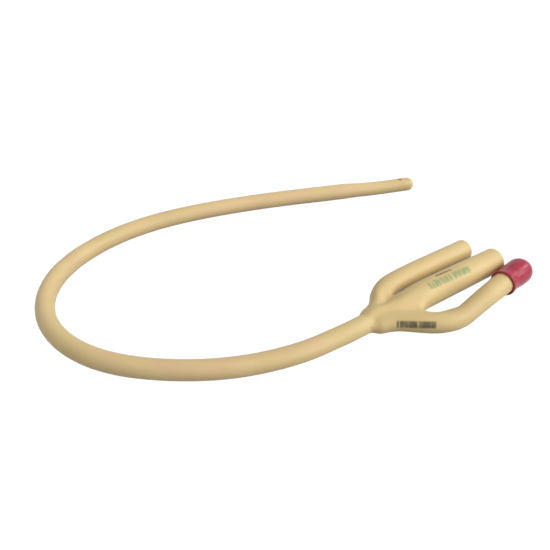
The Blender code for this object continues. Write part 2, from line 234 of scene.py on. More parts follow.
def carve(obj: bpy.types.Object, cutters: Sequence[bpy.types.Object]) -> None:
    """Takes the cutters' shapes out of an object and removes the cutters.

    Args:
        obj: Object that is cut.
        cutters: Closed pieces, which are gone afterwards.
    """
    for cutter in cutters:
        step = obj.modifiers.new(cutter.name, "BOOLEAN")
        step.operation = "DIFFERENCE"
        step.solver = "EXACT"
        step.object = cutter
    settle(obj)
    for cutter in cutters:
        bpy.data.meshes.remove(cutter.data)


def settle(obj: bpy.types.Object, sharp_degrees: float = 40.0) -> None:
    """Writes what an object's modifiers make of it into its own mesh.

    Args:
        obj: Object with live modifiers.
        sharp_degrees: Edges that turn by more than this stay crisp.
    """
    bpy.context.view_layer.update()
    evaluated = obj.evaluated_get(bpy.context.evaluated_depsgraph_get())
    mesh = bpy.data.meshes.new_from_object(evaluated)
    old = obj.data
    obj.modifiers.clear()
    obj.data = mesh
    bpy.data.meshes.remove(old)
    mesh.name = obj.name
    shade(mesh, sharp_degrees)


class Route:
    """A smooth route in plan, with a height at each point of it."""

    path: list[Vector]
    lengths: np.ndarray

    def __init__(self, points: Sequence[tuple[float, float]]) -> None:
        """Runs a curve through plan points in millimetres from the junction."""
        plan = [Vector((x * MM, y * MM, 0.0)) + JUNCTION for x, y in points]
        self.path = smooth_path(plan)
        self.measure()

    def measure(self) -> None:
        """Notes the distance from the start to each point of the path."""
        steps = [(b - a).length for a, b in zip(self.path, self.path[1:])]
        self.lengths = np.concatenate([[0.0], np.cumsum(steps)])

    @property
    def whole(self) -> float:
        """Length of the whole route."""
        return float(self.lengths[-1])

    def length_at(self, x: float) -> float:
        """Distance along the route at which it reaches x, measured from the junction."""
        return float(np.interp(x + JUNCTION.x, [point.x for point in self.path], self.lengths))

    def place_at(self, distance: float) -> Vector:
        """Place at a distance along the route, on the straight run between two of its points.

        Args:
            distance: Distance from the start, which may lie a little past the route's ends.

        Returns:
            The place.
        """
        k = int(np.clip(np.searchsorted(self.lengths, distance), 1, len(self.path) - 1))
        share = (distance - self.lengths[k - 1]) / (self.lengths[k] - self.lengths[k - 1])
        return self.path[k - 1].lerp(self.path[k], float(share))

    def frame_at(self, distance: float, reach: float = 0.6 * MM) -> Matrix:
        """Left, up, ahead and the place at a distance, as the columns of a matrix.

        Args:
            distance: Distance along the route, which may lie a little past its ends.
            reach: Distance to either side over which the direction is taken.

        Returns:
            A matrix that takes a flat ring to its place across the route.
        """
        inner = min(max(distance, reach), self.whole - reach)
        ahead = (self.place_at(inner + reach) - self.place_at(inner - reach)).normalized()
        left = Vector((-ahead.y, ahead.x, 0.0)).normalized()
        axes = Matrix((left, ahead.cross(left), ahead)).transposed().to_4x4()
        return Matrix.Translation(self.place_at(distance)) @ axes

    def curvature(self, distance: float, reach: float = 8.0 * MM) -> float:
        """Turn of the route for each metre of it.

        Args:
            distance: Distance from the start.
            reach: Distance to either side over which the turn is taken.

        Returns:
            The turn in radians per metre.
        """
        low = min(max(distance, reach), self.whole - reach)
        before = self.place_at(low) - self.place_at(low - reach)
        after = self.place_at(low + reach) - self.place_at(low)
        return before.angle(after) / reach


# Finishes


class Nodes:
    """A node tree that grows by short calls."""

    def __init__(self, tree: bpy.types.NodeTree) -> None:
        """Takes over a tree."""
        self.tree = tree

    def wire(self, socket: bpy.types.NodeSocket, value: Value) -> None:
        """Links a socket to another one, or sets it to a plain value.

        Args:
            socket: Input of a node.
            value: Another node's output, or a number, a vector or a colour.
        """
        if isinstance(value, bpy.types.NodeSocket):
            self.tree.links.new(value, socket)
        elif socket.type == "RGBA":
            socket.default_value = (*value, 1.0)
        else:
            socket.default_value = value

    def add(self, kind: str, inputs: Optional[dict[Union[int, str], Value]] = None,
            **settings: object) -> bpy.types.Node:
        """Adds a node.

        Args:
            kind: Blender's name for the node's type.
            inputs: Values or sockets by the input's name or number.
            **settings: Properties of the node itself.

        Returns:
            The new node.
        """
        node = self.tree.nodes.new(kind)
        for name, setting in settings.items():
            setattr(node, name, setting)
        for key, value in (inputs or {}).items():
            self.wire(node.inputs[key], value)
        return node

    def math(self, operation: str, a: Value, b: Value = 0.0) -> bpy.types.NodeSocket:
        """Result of a Math node."""
        return self.add("ShaderNodeMath", {0: a, 1: b}, operation=operation).outputs[0]


@dataclass(frozen=True)
class NoiseLayer:
    """One layer of noise, and the two of its values between which it is eased.

    Its size is that of its features, in metres. Detail counts its finer octaves, and shift
    picks a slice of the noise, so that no two layers are alike.
    """

    size: float
    detail: float = 0.0
    shift: float = 0.0
    low: float = 0.3
    high: float = 0.7


class Graph(Nodes):
    """The nodes of a Principled material, with the object's own coordinates at hand."""

    def __init__(self, name: str) -> None:
        """Starts a material with a Principled shader."""
        self.material = bpy.data.materials.new(name)
        self.material.use_nodes = True
        super().__init__(self.material.node_tree)
        self.shader = self.tree.nodes["Principled BSDF"]
        self.place = self.add("ShaderNodeTexCoord").outputs["Object"]

    def spread(self, value: Value, low: float, high: float,
               start: float = 0.0, stop: float = 1.0) -> bpy.types.NodeSocket:
        """Eased map of low..high onto start..stop, clamped.

        Args:
            value: Socket to map.
            low: Value that gives start.
            high: Value that gives stop.
            start: Result at low.
            stop: Result at high.

        Returns:
            The mapped socket.
        """
        inputs = {"Value": value, "From Min": low, "From Max": high,
                  "To Min": start, "To Max": stop}
        return self.add("ShaderNodeMapRange", inputs, interpolation_type="SMOOTHSTEP").outputs[0]

    def noise(self, layer: NoiseLayer, place: Optional[Value] = None) -> bpy.types.NodeSocket:
        """Noise of a layer, as it comes.

        Args:
            layer: Size, detail and slice of the noise.
            place: Coordinates, or None for the object's own.

        Returns:
            The noise from 0 to 1.
        """
        inputs = {"Vector": place or self.place, "Scale": 1.0 / layer.size,
                  "Detail": layer.detail, "W": layer.shift}
        return self.add("ShaderNodeTexNoise", inputs, noise_dimensions="4D").outputs[0]

    def cloud(self, layer: NoiseLayer, start: float = 0.0, stop: float = 1.0,
              place: Optional[Value] = None) -> bpy.types.NodeSocket:
        """Noise of a layer, eased between its low and its high value.

        Args:
            layer: The noise and its two values.
            start: Result at the low value.
            stop: Result at the high value.
            place: Coordinates, or None for the object's own.

        Returns:
            The eased noise.
        """
        return self.spread(self.noise(layer, place), layer.low, layer.high, start, stop)

    def blend(self, share: Value, a: Value, b: Value) -> bpy.types.NodeSocket:
        """Colour a where share is 0 and b where it is 1."""
        return self.add("ShaderNodeMix", {0: share, 6: a, 7: b}, data_type="RGBA").outputs[2]

    def bump(self, height: Value, depth: float) -> None:
        """Adds a relief to the shader's normal, on top of those that it has.

        Args:
            height: Height of the surface from 0 to 1.
            depth: What a height of 1 stands for, in metres.
        """
        normal = self.shader.inputs["Normal"]
        node = self.add("ShaderNodeBump", {"Height": height, "Distance": depth})
        if normal.is_linked:
            self.wire(node.inputs["Normal"], normal.links[0].from_socket)
        self.wire(normal, node.outputs[0])


@dataclass(frozen=True)
class InkMark:
    """A worn strip of stamped ink: a row of plain uneven blocks with no letters in it.

    The place is in millimetres from the hub's junction. The turn, in degrees, lays the strip's
    length along x, its height along y and its face along z. The blocks are noise that a small
    slur draws out along the strip's height. The ink is faintest where the noise is under thin
    and full where it is over solid, and cover lowers both. Gaps are the middles of the bare
    places along the strip, in millimetres from its own middle.
    """

    place: tuple[float, float, float]
    turn: tuple[float, float, float]
    length: float
    height: float
    color: Color
    strength: float
    block: float = 1.1 * MM
    slur: float = 0.04
    cover: float = 0.12
    thin: float = 0.42
    solid: float = 0.62
    faintest: float = 0.25
    wear: NoiseLayer = NoiseLayer(2.5 * MM, 1.0, shift=3.0, low=0.3, high=0.6)
    worn_share: float = 0.75
    gaps: tuple[float, ...] = ()
    gap_width: float = 0.9 * MM
    depth: float = 3.0 * MM
    soft: float = 0.35 * MM

    def mask(self, graph: Graph) -> bpy.types.NodeSocket:
        """Share of ink over the surface.

        Args:
            graph: Material that the strip is printed on.

        Returns:
            A socket that is 0 off the strip and up to the ink's strength on it.
        """
        inputs = {"Vector": graph.place, "Location": JUNCTION + Vector(self.place) * MM,
                  "Rotation": tuple(math.radians(angle) for angle in self.turn)}
        local = graph.add("ShaderNodeMapping", inputs, vector_type="TEXTURE").outputs[0]
        along, across, facing = graph.add("ShaderNodeSeparateXYZ", {0: local}).outputs
        inputs = {"Vector": local, "Scale": (1.0, self.slur, 0.0)}
        drawn = graph.add("ShaderNodeMapping", inputs).outputs[0]
        blocks = graph.noise(NoiseLayer(self.block, shift=self.place[0]), drawn)
        blocks = graph.spread(blocks, self.thin - self.cover, self.solid - self.cover,
                              self.faintest, 1.0)
        worn = graph.cloud(self.wear, self.worn_share, place=local)
        share = self.band(graph, along, self.length)
        factors = [self.band(graph, across, self.height),
                   self.band(graph, facing, self.depth * 2.0),
                   graph.math("MULTIPLY", blocks, worn)]
        for gap in self.gaps:
            off = graph.math("SUBTRACT", along, gap * MM)
            factors.append(self.band(graph, off, self.gap_width, inside=0.0))
        for factor in (*factors, self.strength):
            share = graph.math("MULTIPLY", share, factor)
        return share

    def band(self, graph: Graph, axis: bpy.types.NodeSocket, width: float,
             inside: float = 1.0) -> bpy.types.NodeSocket:
        """A band across an axis, with soft edges.

        Args:
            graph: Material that the strip is printed on.
            axis: Distance from the middle of the band.
            width: Width of the band in metres.
            inside: Value in the band, 1 or 0. Outside it is the other one.

        Returns:
            The band's value.
        """
        near, far = width / 2.0 - self.soft, width / 2.0 + self.soft
        return graph.spread(graph.math("ABSOLUTE", axis), near, far, inside, 1.0 - inside)


@dataclass(frozen=True)
class SoftFinish:
    """What the soft finishes share: gloss, an uneven roughness and a skin in low relief."""

    name: str
    gloss: float
    roughness: tuple[float, float]
    skin: NoiseLayer
    relief: float

    def lay_skin(self, graph: Graph) -> None:
        """Gives a material its gloss, its roughness and its skin.

        Args:
            graph: The material.
        """
        graph.shader.inputs["Specular IOR Level"].default_value = self.gloss
        skin = graph.noise(self.skin)
        rough = graph.spread(skin, self.skin.low, self.skin.high, *self.roughness)
        graph.wire(graph.shader.inputs["Roughness"], rough)
        graph.bump(skin, self.relief)


@dataclass(frozen=True)
class Latex(SoftFinish):
    """Dipped natural latex: satin, a little cloudy in tone, with a fine uneven skin."""

    gloss: float = 0.35
    roughness: tuple[float, float] = (0.37, 0.49)
    skin: NoiseLayer = NoiseLayer(2.5 * MM, 3.0, shift=9.0)
    relief: float = 0.06 * MM
    pores: NoiseLayer = NoiseLayer(0.35 * MM, 1.0, shift=2.0)
    pore_relief: float = 0.008 * MM
    yellow: Color = (0.79, 0.60, 0.285)
    peach: Color = (0.785, 0.56, 0.30)
    khaki: Color = (0.66, 0.49, 0.235)
    tones: NoiseLayer = NoiseLayer(16.0 * MM, 2.0, low=0.38, high=0.62)
    shades: NoiseLayer = NoiseLayer(27.2 * MM, 1.0, shift=5.0, low=0.42, high=0.7)
    most_shade: float = 0.6

    def material(self, marks: Sequence[InkMark] = ()) -> bpy.types.Material:
        """Builds the finish.

        Args:
            marks: Strips of ink printed on it.

        Returns:
            The material.
        """
        graph = Graph(self.name)
        color = graph.blend(graph.cloud(self.tones), self.yellow, self.peach)
        color = graph.blend(graph.cloud(self.shades, stop=self.most_shade), color, self.khaki)
        for mark in marks:
            color = graph.blend(mark.mask(graph), color, mark.color)
        graph.wire(graph.shader.inputs["Base Color"], color)
        self.lay_skin(graph)
        graph.bump(graph.noise(self.pores), self.pore_relief)
        return graph.material


@dataclass(frozen=True)
class MouldedRubber(SoftFinish):
    """Soft moulded rubber of one colour, satin and faintly mottled."""

    gloss: float = 0.25
    roughness: tuple[float, float] = (0.23, 0.29)
    skin: NoiseLayer = NoiseLayer(2.5 * MM, shift=4.0)
    relief: float = 0.004 * MM
    color: Color = (0.46, 0.036, 0.075)
    deep: Color = (0.39, 0.026, 0.056)
    mottle: NoiseLayer = NoiseLayer(5.0 * MM, 1.0, low=0.4, high=0.65)

    def material(self) -> bpy.types.Material:
        """Builds the finish.

        Returns:
            The material.
        """
        graph = Graph(self.name)
        color = graph.blend(graph.cloud(self.mottle), self.color, self.deep)
        graph.wire(graph.shader.inputs["Base Color"], color)
        self.lay_skin(graph)
        return graph.material


# The room


@dataclass
class Lamp:
    """One soft square light, by the place it stands at and the place it faces."""

    name: str
    place: tuple[float, float, float]
    target: tuple[float, float, float]
    power: float
    size: float = 0.3
    spread: float = 50.0

    def build(self) -> None:
        """Makes the light."""
        light = bpy.data.lights.new(self.name, "AREA")
        light.energy = self.power
        light.size = self.size
        light.spread = math.radians(self.spread)
        toward = Vector(self.target) - Vector(self.place)
        turn = toward.to_track_quat("-Z", "Y").to_matrix().to_4x4()
        add_object(self.name, light).matrix_world = Matrix.Translation(self.place) @ turn


@dataclass
class Studio:
    """Camera, soft lights, white world and pale floor."""

    camera_place: tuple[float, float, float] = (-0.1613, -0.1214, 0.1531)
    look_down: float = 36.387
    look_right: float = 34.075
    lens: float = 40.58
    sensor: float = 36.0
    nearest: float = 0.01
    floor_size: float = 3.0
    floor_roughness: float = 0.9
    ambient: float = 0.45
    bounce: float = 0.12
    whiteness: float = 0.82
    glow: float = 1.25
    lamps: tuple[Lamp, ...] = (
        Lamp("right_light", place=(0.36, -0.34, 0.31), target=(0.05, 0.02, 0.0), power=0.206),
        Lamp("front_light", place=(-0.02, -0.54, 0.21), target=(-0.15, 0.15, 0.0), power=0.075),
        Lamp("top_light", place=(-0.20, -0.21, 0.54), target=(-0.15, 0.15, 0.0), power=0.059),
        Lamp("far_light", place=(0.50, -0.10, 0.31), target=(0.0, 0.17, 0.0), power=0.055,
             size=0.12),
    )

    def place_camera(self) -> None:
        """Stands the camera where the photograph was taken."""
        data = bpy.data.cameras.new("camera")
        data.lens = self.lens
        data.sensor_width = self.sensor
        data.sensor_fit = "HORIZONTAL"
        data.clip_start = self.nearest
        turn = (math.radians(90.0 - self.look_down), 0.0, math.radians(-self.look_right))
        obj = add_object("camera", data)
        obj.matrix_world = Matrix.Translation(self.camera_place) @ Euler(turn).to_matrix().to_4x4()
        bpy.context.scene.camera = obj

    def seen_by_eye(self, nodes: Nodes) -> bpy.types.NodeSocket:
        """Sorts out the rays that show a background.

        Args:
            nodes: Tree of the world or of the floor's material.

        Returns:
            A socket that is 1 for camera, glossy and transmission rays, and 0 for the rest.
        """
        paths = nodes.add("ShaderNodeLightPath").outputs
        seen = paths["Is Camera Ray"]
        for name in ("Is Glossy Ray", "Is Transmission Ray"):
            seen = nodes.math("MAXIMUM", seen, paths[name])
        return seen

    def build_world(self) -> None:
        """Makes a world that lights softly and reads white to the eye."""
        world = bpy.data.worlds.new("studio_world")
        world.use_nodes = True
        nodes = Nodes(world.node_tree)
        soft = nodes.tree.nodes["Background"]
        nodes.wire(soft.inputs["Color"], WHITE)
        nodes.wire(soft.inputs["Strength"], self.ambient)
        white = nodes.add("ShaderNodeBackground", {"Color": WHITE})
        mix = nodes.add("ShaderNodeMixShader", {0: self.seen_by_eye(nodes), 1: soft.outputs[0],
                                                2: white.outputs[0]})
        nodes.wire(nodes.tree.nodes["World Output"].inputs["Surface"], mix.outputs[0])
        bpy.context.scene.world = world

    def build_floor(self) -> None:
        """Makes the table top, which reads nearly white and keeps a faint shadow."""
        bm = bmesh.new()
        bmesh.ops.create_grid(bm, x_segments=1, y_segments=1, size=self.floor_size / 2.0)
        floor = new_piece("floor", bm)
        material = bpy.data.materials.new("white_table")
        material.use_nodes = True
        nodes = Nodes(material.node_tree)
        shader = nodes.tree.nodes["Principled BSDF"]
        nodes.wire(shader.inputs["Base Color"], (self.bounce, self.bounce, self.bounce))
        nodes.wire(shader.inputs["Roughness"], self.floor_roughness)
        glow = nodes.add("ShaderNodeEmission", {"Color": WHITE, "Strength": self.glow})
        share = nodes.math("MULTIPLY", self.seen_by_eye(nodes), self.whiteness)
        mix = nodes.add("ShaderNodeMixShader", {0: share, 1: shader.outputs[0],
                                                2: glow.outputs[0]})
        nodes.wire(nodes.tree.nodes["Material Output"].inputs["Surface"], mix.outputs[0])
        floor.data.materials.append(material)

    def build(self) -> None:
        """Sets the whole room."""
        bpy.context.scene.view_settings.view_transform = "Standard"
        self.place_camera()
        self.build_world()
        self.build_floor()
        for lamp in self.lamps:
            lamp.build()


# The catheter


@dataclass
class FlexibleShaft:
    """The latex tube, from its socket in the hub's neck to its closed tip with two eyes.

    The eyes are pairs of their distance from the tip in millimetres and their turn round the
    tube in degrees. The outside is pairs of distance from the tip and radius, in millimetres.
    """

    radius: float = 3.7 * MM
    lumen: float = 1.5 * MM
    neck_height: float = NECK_HEIGHT * MM
    settle_length: float = 25.0 * MM
    tuck: float = 2.2 * MM
    tip_radius: float = 3.27 * MM
    tip_length: float = 18.0 * MM
    taper_length: float = 20.0 * MM
    tip_nose: float = 3.5 * MM
    tip_bluntness: float = 2.7
    nose_degrees: int = 8
    lumen_floor: float = 5.0 * MM
    step: float = 1.6 * MM
    lumen_step: float = 12.0 * MM
    sides: int = 48
    tight_bend: float = 48.0 * MM
    rise: float = 0.07
    pinch: float = 0.02
    eye_length: float = 3.6 * MM
    eye_width: float = 1.9 * MM
    eye_floor: float = 1.1 * MM
    eye_sides: int = 48
    eyes: tuple[tuple[float, float], ...] = ((7.4, 86.0), (14.0, 266.0))
    plan: tuple[tuple[float, float], ...] = (
        (-8.2, 0.0), (-17.5, 0.0), (-24.0, 0.5), (-37.0, 1.7), (-49.6, 4.6), (-61.7, 9.2),
        (-73.0, 15.6), (-83.3, 23.3), (-92.6, 32.3), (-99.8, 43.0), (-104.1, 55.3),
        (-104.8, 68.1), (-101.4, 80.4), (-94.3, 91.1), (-84.3, 99.2), (-72.7, 104.7),
        (-60.3, 107.9), (-47.5, 109.0), (-34.7, 108.3), (-21.9, 106.2), (-9.5, 103.3),
        (3.0, 99.7), (15.2, 95.7), (27.3, 91.3), (39.4, 86.7), (51.6, 82.1), (63.6, 77.6),
        (75.8, 73.5), (83.0, 71.1),
    )
    outside: tuple[tuple[float, float], ...] = (
        (18.0, 3.27), (29.0, 3.38), (29.4, 3.36), (38.0, 3.5), (54.6, 3.5), (57.0, 3.7),
    )
    exit_gap: float = 0.1 * MM
    path_points: int = 60
    finish: Latex = Latex("shaft_latex")
    route: Route = field(init=False)

    def __post_init__(self) -> None:
        """Lays the route on the table, and lets it rise to the hub's neck."""
        self.route = Route(self.plan)
        squeezes = [self.squeeze(distance) for distance in self.route.lengths]
        for point, distance, squeeze in zip(self.route.path, self.route.lengths, squeezes):
            share = ease((distance - self.tuck) / self.settle_length)
            lying = self.plain_radius(distance) * (1.0 + self.rise * squeeze)
            point.z = self.neck_height + (lying - self.neck_height) * share
        self.route.measure()

    def squeeze(self, distance: float) -> float:
        """How far the tube is oval, from 0 where it is straight to 1 in its tightest bend."""
        return min(1.0, (self.route.curvature(distance) * self.tight_bend) ** 2)

    def plain_radius(self, distance: float) -> float:
        """Outer radius at a distance from the hub, without the rebate for the balloon.

        Args:
            distance: Distance along the route.

        Returns:
            The radius in metres, which sets how high the shaft lies.
        """
        thick = ease((self.route.whole - distance - self.tip_length) / self.taper_length)
        return self.tip_radius + (self.radius - self.tip_radius) * thick

    def radius_at(self, distance: float) -> float:
        """Outer radius at a distance from the hub, in metres."""
        return eased_value(self.outside, (self.route.whole - distance) / MM) * MM

    def circle(self, distance: float, radius: float) -> Matrix:
        """Place and size of an outline across the shaft.

        Args:
            distance: Distance along the route.
            radius: Radius before the bend makes the outline oval.

        Returns:
            A matrix that takes the unit circle there.
        """
        squeeze = self.squeeze(distance)
        wide = radius * (1.0 - self.pinch * squeeze)
        high = radius * (1.0 + self.rise * squeeze)
        return self.route.frame_at(distance) @ Matrix.Diagonal((wide, high, 1.0, 1.0))

    def eye_cutter(self, from_tip: float, degrees: float) -> bpy.types.Object:
        """Oval plug that opens one eye into the lumen, with a flared rim.

        Args:
            from_tip: Distance of the eye's middle from the tip, in millimetres.
            degrees: Turn of the eye round the shaft, from its left side upward.

        Returns:
            The cutter.
        """
        place = self.route.frame_at(self.route.whole - from_tip * MM)
        turn = Matrix.Rotation(math.radians(degrees), 4, "Z")
        out = Matrix.Translation((self.tip_radius, 0.0, 0.0))
        depth = self.tip_radius - self.eye_floor
        size = Matrix.Diagonal((depth, self.eye_width / 2.0, self.eye_length / 2.0, 1.0))
        bm = bmesh.new()
        bmesh.ops.create_uvsphere(bm, u_segments=self.eye_sides, v_segments=self.eye_sides // 2,
                                  radius=1.0)
        bmesh.ops.transform(bm, matrix=place @ turn @ out @ size, verts=bm.verts[:])
        return new_piece("eye_cutter", bm)

    def build(self) -> bpy.types.Object:
        """Skins the tube, its lumen and its tip, and opens the eyes.

        Returns:
            The shaft's object.
        """
        whole = self.route.whole
        lumen_end = whole - self.lumen_floor
        inner = np.linspace(lumen_end, 0.0, math.ceil(lumen_end / self.lumen_step))
        rings = [(float(stop), self.lumen) for stop in inner]
        straight = whole - self.tip_nose
        outer = np.linspace(0.0, straight, math.ceil(straight / self.step))
        rings += [(float(stop), self.radius_at(float(stop))) for stop in outer]
        power = 2.0 / self.tip_bluntness
        for degrees in range(self.nose_degrees, 90, self.nose_degrees):
            reach = self.tip_nose * math.sin(math.radians(degrees)) ** power
            inward = math.cos(math.radians(degrees)) ** power
            rings.append((straight + reach, self.tip_radius * inward))
        bm = bmesh.new()
        loft(bm, [self.circle(stop, radius) for stop, radius in rings], self.sides)
        close_ends(bm)
        shaft = new_piece("flexible_shaft", bm)
        carve(shaft, [self.eye_cutter(*eye) for eye in self.eyes])
        return shaft

    def dress(self, shaft: bpy.types.Object, with_pieces: Sequence[bpy.types.Object]) -> None:
        """Args:
            shaft: The shaft's object.
            with_pieces: Separate pieces on the shaft. Not used.
        """
        shaft.data.materials.append(self.finish.material())
        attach(shaft, BODY)
        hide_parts("shaft_tube")
        stops = np.linspace(0.0, self.route.whole, self.path_points)
        path = [tuple(self.route.place_at(float(stop))) for stop in stops]
        start = self.route.place_at(self.tuck + self.exit_gap)


@dataclass
class BalloonSleeve:
    """The deflated balloon: a thin sleeve in a rebate of the shaft, feathered at both ends.

    Start and end are in millimetres from the tip, and the gap is in millimetres too.
    """

    shaft: FlexibleShaft
    start: float = 57.0
    end: float = 29.3
    gap: float = 0.015
    outside: tuple[tuple[float, float], ...] = (
        (29.3, 3.4), (31.0, 3.47), (38.5, 3.73), (55.0, 3.735), (57.0, 3.72),
    )
    step: float = 1.2 * MM
    sides: int = 48
    finish: Latex = Latex("balloon_latex")

    def build(self) -> bpy.types.Object:
        """Skins the sleeve, outside and inside.

        Returns:
            The sleeve's object.
        """
        whole = self.shaft.route.whole
        count = math.ceil((self.start - self.end) * MM / self.step)
        stops = [float(stop) for stop in np.linspace(self.start, self.end, count)]
        rings = [(whole - stop * MM, eased_value(self.outside, stop) * MM) for stop in stops]
        for stop in reversed(stops):
            distance = whole - stop * MM
            rings.append((distance, self.shaft.radius_at(distance) + self.gap * MM))
        rings.append(rings[0])
        bm = bmesh.new()
        loft(bm, [self.shaft.circle(stop, radius) for stop, radius in rings], self.sides)
        bmesh.ops.remove_doubles(bm, verts=bm.verts[:], dist=MERGE)
        bmesh.ops.recalc_face_normals(bm, faces=bm.faces[:])
        return new_piece("balloon_sleeve", bm)

    def dress(self, sleeve: bpy.types.Object) -> None:
        """Gives the sleeve its finish and puts it in place of its solid.

        Args:
            sleeve: The sleeve's object.
        """
        sleeve.data.materials.append(self.finish.material())
        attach(sleeve, BODY)
        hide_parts("balloon_cuff")


@dataclass
class Front:
    """The open face at the end of a shape that grows by extrusion, with its corners in order."""

    bm: bmesh.types.BMesh
    face: bmesh.types.BMFace
    corners: list[bmesh.types.BMVert]

    def grow(self, points: Sequence[Vector], crisp: bool = False) -> None:
        """Extrudes the face and carries its corners to new places.

        Args:
            points: New place of each corner.
            crisp: Whether the new outline stays a crisp edge when subdivided.
        """
        grown = bmesh.ops.extrude_discrete_faces(self.bm, faces=[self.face])["faces"][0]
        tops = set(grown.verts)
        moved = []
        for corner in self.corners:
            others = (edge.other_vert(corner) for edge in corner.link_edges)
            moved.append(next(vert for vert in others if vert in tops))
        self.face = grown
        self.corners = moved
        self.put(points, crisp)

    def put(self, points: Sequence[Vector], crisp: bool = False) -> None:
        """Places the corners, and creases the outline if it is to stay crisp.

        Args:
            points: Place of each corner.
            crisp: Whether the outline stays a crisp edge when subdivided.
        """
        layer = self.bm.edges.layers.float.get("crease_edge")
        for corner, point in zip(self.corners, points):
            corner.co = point
            for edge in corner.link_edges:
                edge[layer] = 0.0
        for edge in self.face.edges:
            edge[layer] = float(crisp)

    def open(self) -> None:
        """Removes the face and leaves its outline open."""
        bmesh.ops.delete(self.bm, geom=[self.face], context="FACES_ONLY")


def hub_height(x: float) -> float:
    """Height of the hub's mid-plane in metres, which droops from the body to the neck."""
    share = ease((x - NECK_X) / (FUNNEL_FORK - NECK_X))
    return (NECK_HEIGHT + (HUB_HEIGHT - NECK_HEIGHT) * share) * MM


@dataclass
class Limb:
    """One branch of the hub: its route, its outer radii and its bore, by x from the junction.

    Its sizes are in millimetres and its slant, the turn of its root, is in degrees. The lip and
    the rim are pairs of the distance past the end and the width by which the mouth is narrower
    and the bore is wider there.
    """

    plan: Sequence[tuple[float, float]]
    radii: Sequence[tuple[float, float]]
    bores: Sequence[tuple[float, float]]
    stations: Sequence[float]
    fork: float
    end: float
    sag: float = 0.0
    slant: float = 0.0
    tallest: float = 5.47
    mouth_run: float = 2.0
    lip: Sequence[tuple[float, float]] = ((-1.6, 0.0), (-0.6, 0.0), (-0.12, 0.1), (0.0, 0.4))
    rim: Sequence[tuple[float, float]] = ((0.0, 0.35), (-0.15, 0.08), (-0.7, 0.0))
    route: Route = field(init=False)

    def __post_init__(self) -> None:
        """Lays the route at the height of the hub's mid-plane."""
        self.route = Route(self.plan)
        for point in self.route.path:
            x = (point.x - JUNCTION.x) / MM
            point.z = hub_height(x) - self.sag * MM * ease((x - self.fork) / (self.end - self.fork))
        self.route.measure()

    def cage(self, x: float, radius: float, beyond: float = 0.0,
             slant: float = 0.0) -> list[Vector]:
        """Eight cage points round the limb.

        Args:
            x: Place along x, in millimetres from the junction.
            radius: Radius in millimetres.
            beyond: Distance past x, along the route.
            slant: Turn of the ring in degrees, which sets its left side back.

        Returns:
            The points, from the left side upward.
        """
        place = self.route.frame_at(self.route.length_at(x * MM) + beyond * MM)
        angle = math.radians(slant)
        turned = place @ Matrix.Rotation(angle, 4, "Y")
        high = min(radius, self.tallest)
        return ring(turned, radius * MM / math.cos(angle), high * MM, LIMB_SIDES)

    def outline(self, x: float, slant: float = 0.0) -> list[Vector]:
        """Cage points round the outside at x."""
        return self.cage(x, table_value(self.radii, x), slant=slant)

    def extend(self, front: Front, floor: float) -> None:
        """Runs the limb from its root to its lip and back down its bore.

        Args:
            front: Face at the limb's root.
            floor: Place along x at which the bore ends.
        """
        for x in self.stations:
            front.grow(self.outline(x))
        mouth = table_value(self.radii, self.end)
        bore = table_value(self.bores, self.end)
        for beyond, inset in self.lip:
            front.grow(self.cage(self.end, mouth - inset, beyond))
        for beyond, outset in self.rim:
            front.grow(self.cage(self.end, bore + outset, beyond))
        stops = [x for x, _ in self.bores if floor < x < self.end - self.mouth_run]
        for x in reversed(stops):
            front.grow(self.cage(x, table_value(self.bores, x)))
        front.grow(self.cage(floor, table_value(self.bores, floor)), crisp=True)


def irrigation_limb() -> Limb:
    """The left limb, which sags to the table towards its mouth."""
    return Limb(
        plan=((-14.0, 0.91), (-7.6, 2.6), (-4.4, 2.795), (0.0, 4.16), (4.6, 8.0), (9.4, 10.85),
              (15.5, 11.95), (26.0, 12.6), (45.0, 13.1), (75.0, 13.4)),
        radii=((-7.4, 3.2), (-5.4, 2.7), (-2.8, 3.1), (2.0, 3.6), (7.0, 4.15), (12.0, 4.35),
               (18.0, 4.3), (32.0, 4.37), (57.3, 4.4)),
        bores=((3.5, 1.3), (12.0, 2.0), (30.0, 2.4), (46.0, 2.65), (57.3, 2.75)),
        stations=(9.4, 14.5, 22.0, 32.0, 45.0), fork=5.2, end=57.3, sag=0.8)


def drainage_funnel() -> Limb:
    """The middle limb, whose bore runs on to the shaft's lumen."""
    return Limb(
        plan=((-20.0, 0.0), (-8.0, 0.0), (12.0, -0.15), (40.0, 0.0), (80.0, 0.15)),
        radii=((-12.0, 3.7), (-4.0, 4.5), (2.0, 5.1), (12.0, 5.6), (36.0, 5.45), (60.6, 5.22)),
        bores=((-12.2, 1.5), (-5.0, 1.5), (6.0, 2.8), (20.0, 3.4), (42.0, 3.7), (60.6, 3.9)),
        stations=(16.0, 24.0, 36.0, 48.0), fork=FUNNEL_FORK, end=60.6, slant=25.0)


def inflation_limb() -> Limb:
    """The right limb, which bows out and toes back in, with a socket for the valve's stem."""
    return Limb(
        plan=((-14.0, -0.8), (-7.5, -2.1), (0.0, -5.2), (5.8, -10.4), (11.3, -14.8),
              (17.5, -17.4), (22.0, -17.85), (26.5, -16.85), (36.0, -15.0), (50.0, -12.6),
              (75.0, -8.9)),
        radii=((-9.0, 3.1), (-7.4, 3.5), (-5.5, 3.95), (-2.8, 3.75), (3.0, 3.65), (12.0, 3.92),
               (19.0, 3.75), (26.0, 3.8), (33.0, 3.95), (40.0, 4.1), (48.0, 4.25), (57.0, 4.6)),
        bores=((3.5, 0.8), (30.0, 1.0), (44.0, 1.2), (47.0, 2.1), (57.0, 2.1)),
        stations=(12.5, 17.0, 21.5, 26.0, 33.0, 39.0, 44.0, 50.0), fork=8.6, end=57.0)


